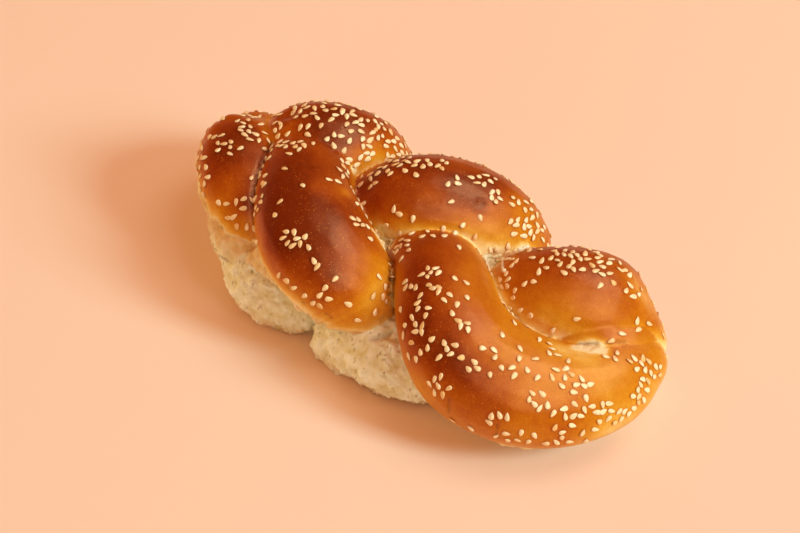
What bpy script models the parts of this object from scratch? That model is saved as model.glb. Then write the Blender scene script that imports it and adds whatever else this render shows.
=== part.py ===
"""A braided challah loaf strewn with sesame seeds, modelled as one closed solid.

Units are metres and +Z is up. The loaf lies along X on its flat base at Z = 0, with the origin at
the middle of that base. The sizes below are in millimetres, and MM brings them to metres.
"""

import bmesh
import bpy
import numpy as np
from mathutils import Matrix, Vector

MM = 0.001
LOAF = "challah"

# The three ropes of the braid show as lobes. Each lobe comes up at the middle of the loaf, arches
# over and dives at one side, further along +X. A lobe is a row of balls that overlap, along a smooth
# path through a few knots (x, y, height of the ball's centre, radius). The near side is -Y.
LOBES = {
    "start_near": [
        (-95, 10, 29, 17), (-91, -1, 32, 19), (-81, -10, 31, 20), (-71, -16, 27, 21),
        (-63, -22, 21, 21),
    ],
    "first_far": [
        (-80, 16, 31, 17), (-71, 19, 37, 20), (-62, 22, 38, 21), (-55, 28, 34, 20), (-51, 33, 26, 18),
        (-49, 36, 17, 17),
    ],
    "first_near": [
        (-69, 20, 30, 16), (-63, 7, 36, 19), (-46, -14, 40, 21), (-30, -27, 39, 23), (-15, -33, 35, 22),
        (-6, -33, 29, 19),
    ],
    "second_far": [
        (-34, 14, 23, 16), (-26, 15, 31, 19), (-13, 19, 36, 23), (-1, 26, 35, 23), (11, 30, 30, 22),
        (17, 33, 22, 20),
    ],
    "end_near": [
        (-4, 7, 19, 17), (8, -1, 28, 19), (24, -14, 34, 20), (41, -29, 34, 22), (56, -34, 28, 25),
        (74, -31, 24, 25), (87, -22, 22, 23), (96, -9, 22, 20), (94, 7, 22, 19),
    ],
    "end_far": [
        (42, 13, 23, 17), (52, 12, 30, 20), (64, 14, 33, 23), (74, 18, 32, 23), (83, 18, 27, 19),
        (90, 14, 23, 18),
    ],
    "end_web": [(77, 1, 21, 13), (86, 4, 25, 18), (90, 9, 24, 19)],
    # Below the lobes the same ropes come round again as pale rolls that rest on the table.
    "roll_near_start": [(-58, -25, 13, 19), (-49, -30, 11, 20), (-40, -31, 9, 19), (-35, -27, 8, 18)],
    "roll_near_mid": [(-6, -36, 7, 15), (7, -35, 10, 18), (20, -34, 12, 20), (32, -31, 12, 18)],
    "roll_far_start": [(-84, 15, 14, 18), (-74, 22, 15, 20), (-58, 28, 15, 20), (-42, 30, 13, 19)],
    "roll_far_mid": [(-16, 30, 12, 19), (4, 33, 13, 20), (26, 31, 12, 19)],
    "roll_end": [
        (42, -22, 9, 18), (62, -22, 9, 19), (80, -14, 9, 18), (86, 2, 9, 18), (78, 16, 9, 18),
        (60, 22, 10, 18), (40, 22, 10, 17),
    ],
    "core": [
        (-90, 5, 11, 16), (-74, 4, 13, 19), (-54, 2, 14, 22), (-14, 2, 15, 24), (26, 2, 15, 25),
        (76, 2, 13, 22),
    ],
    "core_near": [(-66, -12, 7, 17), (-34, -16, 7, 18), (0, -16, 7, 18), (60, -10, 7, 18)],
    "core_far": [(-74, 14, 7, 17), (-34, 18, 7, 18), (0, 18, 7, 18), (60, 10, 7, 18)],
}
BALL_STEP = 2.0  # distance between ball centres along a lobe
BALL_DETAIL = 3  # subdivisions of one ball
BALL_FLATNESS = 0.76  # risen dough sags: height of a ball over its width
REMESH_VOXEL = 1.8
SMOOTH_PASSES = 4
LOAF_TRIANGLES = 5400

SEED_COUNT = 200
SEED_LENGTH = 3.2
SEED_WIDTH = 2.0
SEED_HEIGHT = 0.9  # how far a seed stands up from the crust
SEED_DEPTH = 1.0  # how far its underside reaches into the crust
SEED_RIM = 0.25  # height of a seed's widest line above the crust
SEED_SIDES = 6
SEED_SPACING = 7.5
SEED_LOW = 20.0  # no seeds on the pale flanks below this height
SEED_UPRIGHT = 0.25  # nor where the crust is steeper than this: Z part of its unit normal
RANDOM_SEED = 7

CRUST_COLOUR = (0.42, 0.13, 0.03)
CRUST_ROUGHNESS = 0.35


def path_points(knots, step):
    """Points (x, y, z, radius) on a Catmull-Rom curve through the knots, about one step apart."""
    knots = np.array(knots, float)
    padded = np.vstack([2 * knots[0] - knots[1], knots, 2 * knots[-1] - knots[-2]])
    points = []
    for before, start, end, after in zip(padded, padded[1:], padded[2:], padded[3:]):
        count = max(2, int(np.linalg.norm(end[:3] - start[:3]) / step))
        for t in np.arange(count) / count:
            points.append(0.5 * (
                2 * start + (end - before) * t + (2 * before - 5 * start + 4 * end - after) * t**2
                + (3 * start - before - 3 * end + after) * t**3
            ))
    return np.array([*points, knots[-1]])


def unit_ball():
    """Vertices and triangles of a ball of radius 1."""
    bpy.ops.mesh.primitive_ico_sphere_add(subdivisions=BALL_DETAIL, radius=1)
    ball = bpy.context.object
    vertices = np.array([vertex.co for vertex in ball.data.vertices])
    triangles = np.array([face.vertices for face in ball.data.polygons])
    bpy.data.objects.remove(ball)
    return vertices, triangles


def lobes_mesh():
    """All balls of all lobes in one mesh, still passing through each other."""
    ball_vertices, ball_triangles = unit_ball()
    balls = np.vstack([path_points(knots, BALL_STEP) for knots in LOBES.values()])
    vertices = np.vstack([
        ball_vertices * (radius, radius, radius * BALL_FLATNESS) + (x, y, z) for x, y, z, radius in balls
    ])
    triangles = np.vstack([ball_triangles + i * len(ball_vertices) for i in range(len(balls))])
    mesh = bpy.data.meshes.new(LOAF)
    mesh.from_pydata(vertices * MM, [], triangles.tolist())
    return mesh


def apply_modifier(obj, kind, **settings):
    """Add one modifier with its settings to an object, and apply it."""
    modifier = obj.modifiers.new(kind.title(), kind)
    for name, value in settings.items():
        setattr(modifier, name, value)
    with bpy.context.temp_override(object=obj, active_object=obj):
        bpy.ops.object.modifier_apply(modifier=modifier.name)


def below_table(size):
    """A box whose top face is the table, to cut the flat base."""
    bpy.ops.mesh.primitive_cube_add(size=size, location=(0, 0, -size / 2))
    box = bpy.context.object
    box.name = "below_table"
    box.display_type = "WIRE"
    box.hide_render = True
    return box


def plain_loaf():
    """The braided loaf without its seeds: lobes merged to one skin, thinned out, and cut flat below."""
    loaf = bpy.data.objects.new(LOAF, lobes_mesh())
    bpy.context.collection.objects.link(loaf)
    apply_modifier(loaf, "REMESH", mode="VOXEL", voxel_size=REMESH_VOXEL * MM)
    apply_modifier(loaf, "SMOOTH", factor=0.5, iterations=SMOOTH_PASSES)
    apply_modifier(loaf, "TRIANGULATE")
    apply_modifier(loaf, "DECIMATE", ratio=LOAF_TRIANGLES / len(loaf.data.polygons))
    table = below_table(1.0)
    apply_modifier(loaf, "BOOLEAN", object=table, operation="DIFFERENCE", solver="EXACT")
    bpy.data.objects.remove(table)
    apply_modifier(loaf, "TRIANGULATE")
    return loaf


def seed_mesh():
    """One sesame seed as a low teardrop: a pointed rim with a peak above and one below."""
    turns = np.arange(SEED_SIDES) * 2 * np.pi / SEED_SIDES
    narrowing = 1 - 0.35 * np.cos(turns)  # the seed tapers towards its +X tip
    rim = np.column_stack([
        np.cos(turns) * SEED_LENGTH / 2,
        np.sin(turns) * SEED_WIDTH / 2 * narrowing,
        np.full(SEED_SIDES, SEED_RIM),
    ])
    peaks = [(-0.1 * SEED_LENGTH, 0, SEED_HEIGHT), (0, 0, -SEED_DEPTH)]
    top, bottom = SEED_SIDES, SEED_SIDES + 1
    faces = []
    for i in range(SEED_SIDES):
        following = (i + 1) % SEED_SIDES
        faces += [(i, following, top), (following, i, bottom)]
    mesh = bpy.data.meshes.new("sesame_seed")
    mesh.from_pydata(np.vstack([rim, peaks]) * MM, [], faces)
    return mesh


def seed_places(loaf):
    """Points on the crust, and its normals there, spread evenly at random over the upper loaf."""
    rng = np.random.default_rng(RANDOM_SEED)
    mesh = loaf.data
    corners = np.array([[mesh.vertices[v].co for v in face.vertices] for face in mesh.polygons])
    normals = np.array([face.normal for face in mesh.polygons])
    areas = np.array([face.area for face in mesh.polygons])
    upright = (normals[:, 2] > SEED_UPRIGHT) & (corners[:, :, 2].mean(axis=1) > SEED_LOW * MM)
    chosen = rng.choice(len(areas), size=SEED_COUNT * 40, p=areas * upright / (areas * upright).sum())
    places = []
    for face in chosen:
        weights = rng.dirichlet((1, 1, 1))
        point = weights @ corners[face]
        if all(np.linalg.norm(point - other) > SEED_SPACING * MM for other, _ in places):
            places.append((point, normals[face]))
        if len(places) == SEED_COUNT:
            break
    return places


def add_seeds(loaf):
    """Lay the seeds flat on the crust, each turned its own way, and fuse them to the loaf."""
    rng = np.random.default_rng(RANDOM_SEED)
    mesh = seed_mesh()
    seeds = bpy.data.collections.new("seeds")
    bpy.context.scene.collection.children.link(seeds)
    for point, normal in seed_places(loaf):
        seed = bpy.data.objects.new("seed", mesh)
        lie_flat = Vector(normal).to_track_quat("Z", "Y").to_matrix().to_4x4()
        turn = Matrix.Rotation(rng.uniform(0, 2 * np.pi), 4, "Z")
        seed.matrix_world = Matrix.Translation(point) @ lie_flat @ turn
        seeds.objects.link(seed)
    bpy.context.view_layer.update()
    print("seeds:", len(seeds.objects))
    apply_modifier(
        loaf, "BOOLEAN", operand_type="COLLECTION", collection=seeds, operation="UNION", solver="MANIFOLD"
    )
    for seed in list(seeds.objects):
        bpy.data.objects.remove(seed)
    bpy.data.collections.remove(seeds)


def keep_largest_shell(obj):
    """Fill any hollow that a seed has sealed in a crease: its walls are a small shell of their own."""
    mesh = bmesh.new()
    mesh.from_mesh(obj.data)
    left, shells = set(mesh.faces), []
    while left:
        shell, front = set(), [left.pop()]
        while front:
            face = front.pop()
            shell.add(face)
            near = {other for edge in face.edges for other in edge.link_faces} & left
            left -= near
            front.extend(near)
        shells.append(shell)
    shells.sort(key=len)
    for shell in shells[:-1]:
        bmesh.ops.delete(mesh, geom=list(shell), context="FACES")
    print("small shells removed:", len(shells) - 1)
    mesh.to_mesh(obj.data)
    mesh.free()


def centre_on_base(obj):
    """Shift the mesh so that the middle of its box lies over the origin and its base at Z = 0."""
    corners = np.array([vertex.co for vertex in obj.data.vertices])
    low, high = corners.min(axis=0), corners.max(axis=0)
    print("size in mm:", np.round((high - low) / MM, 1), "shift:", np.round((low + high) / 2 / MM, 2)[:2])
    obj.data.transform(Matrix.Translation((-(low[0] + high[0]) / 2, -(low[1] + high[1]) / 2, -low[2])))


def crust_material():
    material = bpy.data.materials.new("crust")
    material.use_nodes = True
    shader = material.node_tree.nodes["Principled BSDF"]
    shader.inputs["Base Color"].default_value = (*CRUST_COLOUR, 1)
    shader.inputs["Roughness"].default_value = CRUST_ROUGHNESS
    shader.inputs["Metallic"].default_value = 0
    return material


def main():
    for obj in list(bpy.data.objects):
        bpy.data.objects.remove(obj)
    loaf = plain_loaf()
    add_seeds(loaf)
    keep_largest_shell(loaf)
    centre_on_base(loaf)
    loaf.data.materials.clear()
    loaf.data.materials.append(crust_material())
    print("triangles:", sum(len(face.vertices) - 2 for face in loaf.data.polygons))


if __name__ == "__main__":
    main()
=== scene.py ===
# %% [markdown]
# # A sesame challah, dressed over its plain solid
#
# The solid behind this scene has the plait's true form with a few coarse seeds. Here the same loaf
# gets a fine skin: glazed brown crests, golden creases, pale torn flanks, and its full strewing of
# sesame. We load the solid first, because everything that we add has to lie where it lies.

from math import cos, pi, radians, sin

import bmesh
import bpy
import numpy as np
from mathutils import Matrix, Vector, noise
from mathutils.bvhtree import BVHTree


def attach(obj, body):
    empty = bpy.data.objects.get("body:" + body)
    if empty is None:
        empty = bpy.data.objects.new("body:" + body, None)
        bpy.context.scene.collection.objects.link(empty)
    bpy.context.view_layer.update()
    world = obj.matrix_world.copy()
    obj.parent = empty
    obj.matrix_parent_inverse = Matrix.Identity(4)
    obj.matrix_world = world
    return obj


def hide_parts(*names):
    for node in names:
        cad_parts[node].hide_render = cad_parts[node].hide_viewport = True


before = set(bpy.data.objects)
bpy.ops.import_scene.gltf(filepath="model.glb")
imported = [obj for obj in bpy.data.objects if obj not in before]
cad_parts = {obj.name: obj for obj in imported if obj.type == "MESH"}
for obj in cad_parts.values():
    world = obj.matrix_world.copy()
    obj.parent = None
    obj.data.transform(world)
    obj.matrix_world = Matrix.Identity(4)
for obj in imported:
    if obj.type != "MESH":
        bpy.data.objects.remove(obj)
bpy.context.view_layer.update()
MM = 0.001
NODE = "challah"
BODY = "root"  # the one body of a thing without joints


# %% [markdown]
# ## The camera
#
# The loaf was photographed with a long lens from above its near side. We place the camera first,
# because the marks of this loaf and its seeds are later aimed through it at the crust. A long lens
# far away keeps the near end of the loaf from swelling, as it does in a product photograph.

# %% the camera
PHOTO = (800, 533)  # width and height of the photograph in pixels
CAMERA_AT = Vector((541.5, -679.3, 808.1)) * MM
CAMERA_AZIMUTH, CAMERA_ELEVATION = radians(39), radians(42)
PIXELS_AT_ONE = 2940  # focal length in pixels of the photograph
SENSOR = 36  # width in millimetres


def add_object(name, data):
    """A new object of this name and data in the scene."""
    obj = bpy.data.objects.new(name, data)
    bpy.context.collection.objects.link(obj)
    return obj


right = Vector((cos(CAMERA_AZIMUTH), sin(CAMERA_AZIMUTH), 0))
back = Vector((
    sin(CAMERA_AZIMUTH) * cos(CAMERA_ELEVATION), -cos(CAMERA_AZIMUTH) * cos(CAMERA_ELEVATION),
    sin(CAMERA_ELEVATION),
))
up = back.cross(right)

lens = bpy.data.cameras.new("photo_camera")
lens.sensor_width = SENSOR
lens.lens = PIXELS_AT_ONE * SENSOR / PHOTO[0]
lens.clip_start = 10 * MM
camera = add_object("photo_camera", lens)
camera.matrix_world = Matrix.Translation(CAMERA_AT) @ Matrix((right, up, back)).transposed().to_4x4()
bpy.context.scene.camera = camera


def sight_line(u, v):
    """The direction from the camera through one pixel of the photograph."""
    return ((u - PHOTO[0] / 2) * right - (v - PHOTO[1] / 2) * up) / PIXELS_AT_ONE - back


print("lens in mm:", round(lens.lens, 1))

# %% [markdown]
# ## The ropes of the plait
#
# A challah is plaited from ropes of dough that swell in the oven until they press on each other.
# Each lobe that we see is one rope coming up, arching over and diving again. A few knots say where its
# middle runs and how thick it is there. Rows of overlapping balls along them give the swollen form, and
# one voxel skin over all closes the creases as baking does. Separate tubes would leave gaps between
# the ropes.

# %% the knots of each lobe, in millimetres: x, y, height and radius
LOBES = {
    "start_near": [
        (-95, 10, 29, 17), (-91, -1, 32, 19), (-81, -10, 31, 20), (-71, -16, 27, 21),
        (-63, -22, 21, 21),
    ],
    "first_far": [
        (-80, 16, 31, 17), (-71, 19, 37, 20), (-62, 22, 38, 21), (-55, 28, 34, 20), (-51, 33, 26, 18),
        (-49, 36, 17, 17),
    ],
    "first_near": [
        (-69, 20, 30, 16), (-63, 7, 36, 19), (-46, -14, 40, 21), (-30, -27, 39, 23), (-15, -33, 35, 22),
        (-6, -33, 29, 19),
    ],
    "second_far": [
        (-34, 14, 23, 16), (-26, 15, 31, 19), (-13, 19, 36, 23), (-1, 26, 35, 23), (11, 30, 30, 22),
        (17, 33, 22, 20),
    ],
    "end_near": [
        (-4, 7, 19, 17), (8, -1, 28, 19), (24, -14, 34, 20), (41, -29, 34, 22), (56, -34, 28, 25),
        (74, -31, 24, 25), (87, -22, 22, 23), (96, -9, 22, 20), (94, 7, 22, 19),
    ],
    "end_far": [
        (42, 13, 23, 17), (52, 12, 30, 20), (64, 14, 33, 23), (74, 18, 32, 23), (83, 18, 27, 19),
        (90, 14, 23, 18),
    ],
    "end_web": [(77, 1, 21, 13), (86, 4, 25, 18), (90, 9, 24, 19)],
    "first_hem": [
        (-48, -38, 27, 6), (-38, -42, 30, 6), (-23, -45, 31, 6), (-13, -45, 28, 6), (-6, -43, 23, 6),
    ],
    "roll_near_start": [(-58, -25, 13, 19), (-49, -30, 11, 20), (-40, -31, 9, 19), (-35, -27, 8, 18)],
    "roll_near_mid": [(-6, -36, 7, 15), (7, -35, 10, 18), (20, -34, 12, 20), (32, -31, 12, 18)],
    "roll_far_start": [(-84, 15, 14, 18), (-74, 22, 15, 20), (-58, 28, 15, 20), (-42, 30, 13, 19)],
    "roll_far_mid": [(-16, 30, 12, 19), (4, 33, 13, 20), (26, 31, 12, 19)],
    "roll_end": [
        (42, -22, 9, 18), (62, -22, 9, 19), (80, -14, 9, 18), (86, 2, 9, 18), (78, 16, 9, 18),
        (60, 22, 10, 18), (40, 22, 10, 17),
    ],
    "core": [
        (-90, 5, 11, 16), (-74, 4, 13, 19), (-54, 2, 14, 22), (-14, 2, 15, 24), (26, 2, 15, 25),
        (76, 2, 13, 22),
    ],
    "core_near": [(-66, -12, 7, 17), (-34, -16, 7, 18), (0, -16, 7, 18), (60, -10, 7, 18)],
    "core_far": [(-74, 14, 7, 17), (-34, 18, 7, 18), (0, 18, 7, 18), (60, 10, 7, 18)],
}
MIDDLE = (1.99, -3.06, 0, 0)  # the solid's origin is here in the table of knots
BALL_STEP = 2.0
BALL_FLATNESS = 0.76  # risen dough sags: height of a ball over its width


def path_points(knots, step):
    """Points (x, y, z, radius) on a smooth curve through the knots, about one step apart."""
    knots = np.array(knots, float)
    padded = np.vstack([2 * knots[0] - knots[1], knots, 2 * knots[-1] - knots[-2]])
    points = []
    for before, start, end, after in zip(padded, padded[1:], padded[2:], padded[3:]):
        count = max(2, int(np.linalg.norm(end[:3] - start[:3]) / step))
        for t in np.arange(count) / count:
            points.append(0.5 * (
                2 * start + (end - before) * t + (2 * before - 5 * start + 4 * end - after) * t**2
                + (3 * start - before - 3 * end + after) * t**3
            ))
    return np.array([*points, knots[-1]])


balls = {name: path_points(knots, BALL_STEP) - MIDDLE for name, knots in LOBES.items()}
print("balls:", sum(map(len, balls.values())), "in", len(balls), "lobes")

# %% [markdown]
# ## One skin over the ropes
#
# The Remesh modifier with small voxels makes one closed skin. Its voxels are stepped, so a few
# smoothing passes take the steps away but leave the creases. Whatever hangs below the board is
# pressed flat on it, as the weight of the loaf presses it in the oven.

# %% the skin
BALL_SUBDIVISIONS = 3
VOXEL = 0.8 * MM
SMOOTHING, SMOOTHING_PASSES = 0.5, 8


def ball_form():
    """Corners and faces of a ball of radius 1."""
    ball = bmesh.new()
    bmesh.ops.create_icosphere(ball, subdivisions=BALL_SUBDIVISIONS, radius=1)
    corners = np.array([vertex.co for vertex in ball.verts])
    faces = np.array([[vertex.index for vertex in face.verts] for face in ball.faces])
    ball.free()
    return corners, faces


def applied(obj, name):
    """The mesh that an object's modifiers give, as a new object; the first one is removed."""
    graph = bpy.context.evaluated_depsgraph_get()
    mesh = bpy.data.meshes.new_from_object(obj.evaluated_get(graph))
    mesh.name = name
    bpy.data.objects.remove(obj)
    return add_object(name, mesh)


def loaf_skin():
    """All balls under one smoothed voxel skin."""
    corners, faces = ball_form()
    rows = np.vstack(list(balls.values()))
    points = np.vstack([corners * (r, r, r * BALL_FLATNESS) + (x, y, z) for x, y, z, r in rows])
    triangles = np.vstack([faces + i * len(corners) for i in range(len(rows))])
    mesh = bpy.data.meshes.new("dough")
    mesh.from_pydata(points * MM, [], triangles.tolist())
    dough = add_object("dough", mesh)
    skin = dough.modifiers.new("skin", "REMESH")
    skin.mode, skin.voxel_size = "VOXEL", VOXEL
    smooth = dough.modifiers.new("smooth", "SMOOTH")
    smooth.factor, smooth.iterations = SMOOTHING, SMOOTHING_PASSES
    return applied(dough, "loaf")


loaf = loaf_skin()
count = len(loaf.data.vertices)
spots = np.empty(count * 3)
loaf.data.vertices.foreach_get("co", spots)
spots = spots.reshape(-1, 3) / MM  # from here on, millimetres
print("skin points:", count)


def skin_normals():
    """Unit normals of the loaf's mesh, one row per point."""
    values = np.empty(count * 3)
    loaf.data.vertex_normals.foreach_get("vector", values)
    return values.reshape(-1, 3)


def move_skin():
    """Write the points in spots back to the mesh, with the underside flat on the board."""
    spots[:, 2] = np.maximum(spots[:, 2], 0)
    loaf.data.vertices.foreach_set("co", (spots * MM).ravel())
    loaf.data.update()


normals = skin_normals()

# %% [markdown]
# ## Which rope, and how near a crease
#
# Crests are darkest because they stood out in the heat, and creases stay golden because the next rope
# shaded them. So we measure how far each point of the skin is from every rope. The nearest rope is its
# own, and the distance to the next one says how close the crease is. Numpy does this for all points at
# once.

# %% distances to the ropes
GLAZED = ["start_near", "first_far", "first_near", "second_far", "end_near", "end_far", "end_web"]
MELTED = [  # ropes that run into each other here without a crease between them
    {"first_far", "first_near"}, {"end_near", "end_web"}, {"end_far", "end_web"},
]
SQUASH = np.array((1, 1, 1 / BALL_FLATNESS))  # in this space the balls are round
FAR = 1e9  # millimetres, further than anything here

gaps, heights = [], []
for rows in balls.values():
    distance = np.full(count, FAR)
    level = np.zeros(count)
    for x, y, z, radius in rows:
        away = np.linalg.norm((spots - (x, y, z)) * SQUASH, axis=1) - radius
        closer = away < distance
        distance[closer] = away[closer]
        level[closer] = z
    gaps.append(distance)
    heights.append(level)
gaps, heights = np.array(gaps), np.array(heights)
names = list(balls)
rope = gaps.argmin(axis=0)
above = spots[:, 2] - heights[rope, np.arange(count)]  # height over the rope's own middle
glazed_rope = rope < len(GLAZED)
print("points per rope:", {name: int((rope == i).sum()) for i, name in enumerate(names)})


def on_rope(name):
    """Which points of the skin belong to the rope of this name."""
    return rope == names.index(name)


def smoothstep(low, high, value):
    """0 at low, 1 at high, smooth in between and level outside; low may be above high."""
    t = np.clip((value - low) / (high - low), 0, 1)
    return t * t * (3 - 2 * t)


def roughness_of(size, seed, octaves=2):
    """Smooth noise from -1 to 1 over the skin, with bumps of the given size in millimetres."""
    shift = Vector((seed * 17.3, seed * 5.1, seed * 9.7))
    return np.array([
        noise.fractal(Vector(spot) / size + shift, 0.6, 2.0, octaves) for spot in spots.tolist()
    ])


# %% [markdown]
# ## How each pair of ropes meets
#
# Where two ropes press lightly on each other the glaze never reached, and the dough stays pale. The
# table has two entries for a pair, because one rope often lies in the other's shade and is paler. An
# exponential fades the paleness away from the crease.

# %% creases
CREASES = {  # on the first rope, beside the second: how pale, and over what width in millimetres
    ("start_near", "first_far"): (0.45, 2.5), ("first_far", "start_near"): (0.4, 2.5),
    ("start_near", "first_near"): (0.0, 1.0), ("first_near", "start_near"): (0.32, 1.6),
    ("first_far", "second_far"): (0.48, 2.2), ("second_far", "first_far"): (0.3, 1.2),
    ("first_near", "second_far"): (0.26, 1.4), ("second_far", "first_near"): (0.0, 1.0),
    ("first_near", "end_near"): (0.3, 2.2), ("end_near", "first_near"): (0.05, 1.0),
    ("second_far", "end_near"): (0.55, 4.0), ("end_near", "second_far"): (0.34, 1.5),
    ("second_far", "end_far"): (0.8, 3.4), ("end_far", "second_far"): (0.45, 1.5),
    ("end_near", "end_far"): (0.36, 2.4), ("end_far", "end_near"): (0.5, 2.6),
}
PLAIN_CREASE = (0.3, 2.0)  # where the table names no pair

pale = np.zeros(count)
crease_gap = np.full(count, FAR)
for i, one in enumerate(GLAZED):
    mine = rope == i
    for j, other in enumerate(GLAZED):
        if i == j or {one, other} in MELTED:
            continue
        near = np.clip(gaps[j][mine], 0, None)
        paleness, width = CREASES.get((one, other), PLAIN_CREASE)
        pale[mine] = np.maximum(pale[mine], paleness * np.exp(-near / width))
        crease_gap[mine] = np.minimum(crease_gap[mine], near)
print("points in creases:", int((crease_gap < 1).sum()))

# %% [markdown]
# ## Where the glaze ends
#
# Egg is brushed on from above, so it stops partway down each flank, and the dough below stays pale and
# rough. The edge runs at a set height over each rope's middle, and noise makes it wander. The height
# over it is kept as over_edge, because browning and tan dough fade along that number later.

# %% the edge of the glaze
GLAZE_DROP = {  # how far below a rope's middle its glaze ends
    "first_far": 6.0, "first_near": 5.0, "second_far": 6.0,
    "end_near": 13.0, "end_far": 9.0, "end_web": 9.0,
}
START_EDGE = 30.5  # on the start the edge runs level, at this height
WANDER, SMALL_WANDER = 1.1, 0.5  # how far the edge strays in long waves and in short ones
EDGE_SOFTNESS = 0.5
NEVER_GLAZED = -20  # over_edge on the ropes that have no glaze at all

wander = roughness_of(9, 1) * WANDER + roughness_of(2.6, 2) * SMALL_WANDER
drop = np.array([GLAZE_DROP.get(name, 0) for name in names])[rope]
over_edge = np.where(glazed_rope, above + drop + wander, NEVER_GLAZED)
on_start = on_rope("start_near")
over_edge[on_start] = (spots[:, 2] - START_EDGE + wander)[on_start]
crumb = 1 - smoothstep(-EDGE_SOFTNESS, EDGE_SOFTNESS, over_edge)
print("share of raw crumb:", round(float(crumb.mean()), 2))

# %% [markdown]
# ## Places aimed through the camera
#
# Some things sit at one place of this very loaf: a darker blush, a torn pocket, a lone seed. Each is
# named by its pixel in the photograph, and a ray from the camera finds its place on the skin.

# %% rays to the skin
PIXELS_PER_MM = 2.45  # at the loaf
move_skin()


def skin_tree():
    """The skin as it is now, for rays."""
    return BVHTree.FromPolygons(
        [Vector(spot) for spot in spots.tolist()], [list(face.vertices) for face in loaf.data.polygons])


tree = skin_tree()


def seen_at(u, v):
    """Place on the skin in millimetres, and its normal, behind one pixel; None beside the loaf."""
    place, normal, _, _ = tree.ray_cast(CAMERA_AT / MM, sight_line(u, v).normalized())
    return None if place is None else (np.array(place), np.array(normal))


def around(u, v, spread):
    """1 at the place behind a pixel, fading to 0 round it; spread is in square millimetres."""
    return np.exp(-((spots - seen_at(u, v)[0]) ** 2).sum(axis=1) / spread)


print("seen in the middle:", np.round(seen_at(PHOTO[0] / 2, PHOTO[1] / 2)[0], 1))

# %% [markdown]
# ## Browning
#
# An oven browns what stands highest and furthest out. We start from the height over each rope's own
# middle, take away what the creases and the edge of the glaze keep pale, and add the blushes that this
# loaf has. The result is one number from 0, raw, to 1, darkest. Where the ropes were pulled apart,
# small pockets of raw dough show, with a ragged rim.

# %% places of this loaf
POCKETS = [  # pixel, radius in pixels, how raw: dough that opened while the ropes rose
    (376, 234, 5, 1.0), (382, 244, 5, 1.0), (386, 240, 6, 1.0), (391, 246, 4, 0.8), (383, 233, 5, 0.8),
    (496, 260, 5, 1.0), (487, 262, 4, 0.9), (492, 256, 6, 1.0), (501, 262, 4, 0.9), (524, 249, 4, 0.7),
    (578, 347, 4, 0.6), (586, 347, 5, 0.9), (595, 348, 5, 0.9), (602, 350, 4, 0.5), (353, 170, 3, 0.5),
]
BLUSHES = [  # pixel, radius in pixels, change in browning
    # the start
    (222, 158, 30, 0.2), (235, 128, 16, 0.12), (208, 190, 12, 0.08), (228, 190, 14, -0.08),
    (248, 202, 9, 0.2), (254, 134, 12, 0.14), (241, 174, 12, -0.06),
    # the first far lobe
    (330, 125, 34, 0.1), (338, 126, 18, 0.26), (368, 150, 18, -0.28), (286, 132, 12, -0.18),
    (315, 143, 14, -0.12), (350, 138, 14, 0.16),
    # the first near lobe
    (262, 195, 12, 0.1), (280, 200, 20, 0.14), (288, 165, 24, 0.15), (310, 225, 40, 0.1),
    (296, 215, 20, 0.48), (314, 190, 12, -0.14), (340, 190, 12, -0.1), (346, 192, 5, -0.24),
    (335, 285, 22, 0.08), (364, 308, 14, -0.14), (328, 262, 20, 0.07), (275, 250, 16, 0.1),
    (338, 310, 16, 0.06), (376, 268, 20, -0.24), (380, 296, 14, -0.24), (382, 234, 12, -0.26),
    (300, 304, 12, -0.16),
    # the second far lobe
    (372, 184, 22, 0.02), (354, 184, 9, 0.2), (378, 172, 8, 0.2), (425, 171, 22, 0.14),
    (462, 163, 18, -0.12), (430, 190, 14, -0.12), (475, 184, 24, 0.2), (464, 188, 12, 0.1),
    (425, 215, 22, 0.08), (416, 236, 8, -0.14), (370, 205, 10, 0.06), (492, 234, 22, -0.26),
    (466, 234, 10, -0.08), (428, 228, 12, 0.08), (402, 222, 10, -0.08), (481, 205, 6, 0.2),
    (524, 208, 18, -0.24),
    # the near end lobe
    (425, 300, 24, 0.18), (447, 294, 16, -0.16), (468, 268, 14, -0.14), (470, 290, 18, -0.08),
    (410, 268, 12, 0.12), (418, 340, 24, 0.12), (445, 350, 16, 0.14), (496, 386, 20, 0.1),
    (478, 350, 16, -0.08), (464, 364, 14, 0.12), (630, 352, 14, -0.1), (480, 428, 28, 0.14),
    (550, 440, 18, 0.2), (525, 330, 36, -0.3), (590, 378, 30, -0.22), (525, 380, 28, -0.16),
    (505, 305, 16, -0.1), (640, 385, 26, -0.14), (612, 430, 12, -0.14), (420, 385, 12, -0.1),
    (585, 356, 12, -0.24), (575, 430, 12, 0.12), (600, 390, 12, -0.08),
    # the far end lobe
    (565, 302, 26, -0.22), (550, 285, 18, 0.14), (590, 282, 22, 0.14), (585, 328, 18, 0.16),
    (605, 310, 24, -0.14), (500, 270, 20, -0.1), (540, 275, 20, -0.08), (625, 335, 14, 0.14),
    (655, 325, 12, 0.12), (644, 288, 14, -0.32), (562, 348, 10, -0.24), (608, 334, 10, 0.14),
    (628, 335, 14, 0.06), (600, 288, 14, 0.06), (612, 262, 16, -0.12), (560, 258, 16, 0.04),
]
print("pockets:", len(POCKETS), "blushes:", len(BLUSHES))

# %% browning
FLANK, CREST = 0.465, 0.34  # browning low on a rope, and how much more its crest has
CREST_RISE = (-3, 14)  # heights over the rope's middle between which that comes
PATCHES, SMALL_PATCHES = 0.05, 0.03
END_PALER, END_STRETCH = 0.08, (60, 112)  # the far end of the loaf, between these two x
WEB_PALER = 0.22
EDGE_PALER = 0.5  # at the edge of the glaze
EDGE_FADE, PLAIN_FADE = {"start_near": 6.0, "first_near": 3.2}, 2.2  # how far up that reaches
POCKET_PALER, RAGGEDNESS, POCKET_RIM = 0.9, 0.7, (0.35, 0.75)

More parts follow.
